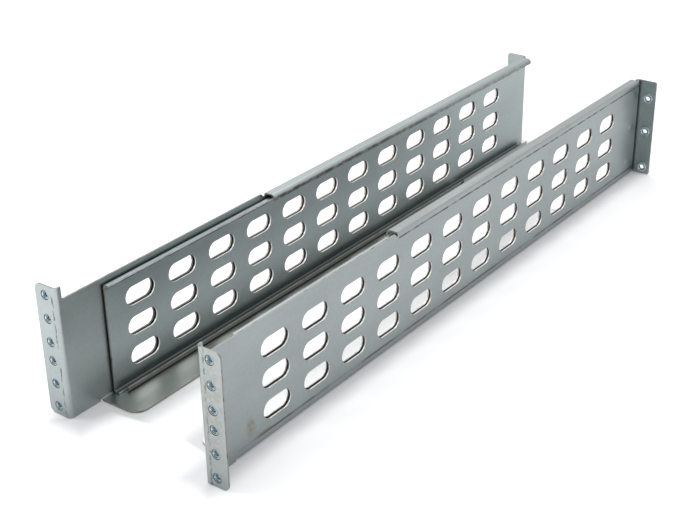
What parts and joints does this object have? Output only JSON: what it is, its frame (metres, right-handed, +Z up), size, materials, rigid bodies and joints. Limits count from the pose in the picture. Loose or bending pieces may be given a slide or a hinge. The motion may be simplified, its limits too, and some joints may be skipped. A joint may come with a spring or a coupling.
{
  "type": "pair of rack mounting rails",
  "caption": "Telescoping sheet-steel support rails for a four-post rack: slotted webs, bolt-on ears with pressed nuts at each end and inward shelves that carry equipment.",
  "frame": {"origin": "midway between the two rails and midway along them when closed, on their underside", "axes": "+X from the left rail to the right, +Y from the front ears to the rear ears, +Z up"},
  "size_m": [0.1432, 0.541, 0.0889],
  "materials": {
    "front_sheet": "zinc-plated sheet steel, satin",
    "rear_sheet": "zinc-plated sheet steel, satin",
    "strip_steel": "zinc-plated strip, satin",
    "nut_steel": "zinc-plated, turned"
  },
  "bodies": {
    "front": {"left_front_section": "front_sheet", "left_guide_strip": "strip_steel", "left_front_nut_1": "nut_steel", "left_front_nut_2": "nut_steel", "left_front_nut_3": "nut_steel", "left_front_nut_4": "nut_steel", "left_front_nut_5": "nut_steel", "left_front_nut_6": "nut_steel", "right_front_section": "front_sheet", "right_guide_strip": "strip_steel", "right_front_nut_1": "nut_steel", "right_front_nut_2": "nut_steel", "right_front_nut_3": "nut_steel", "right_front_nut_4": "nut_steel", "right_front_nut_5": "nut_steel", "right_front_nut_6": "nut_steel"},
    "left_rear": {"left_rear_section": "rear_sheet", "left_rear_nut_1": "nut_steel", "left_rear_nut_2": "nut_steel", "left_rear_nut_3": "nut_steel"},
    "right_rear": {"right_rear_section": "rear_sheet", "right_rear_nut_1": "nut_steel", "right_rear_nut_2": "nut_steel", "right_rear_nut_3": "nut_steel"}
  },
  "joints": [
    {"name": "left_rear_slide", "type": "slide", "parent": "front", "child": "left_rear", "axis": [0, 1, 0], "range_m": [0, 0.27]},
    {"name": "right_rear_slide", "type": "slide", "parent": "front", "child": "right_rear", "axis": [0, 1, 0], "range_m": [0, 0.27]}
  ]
}
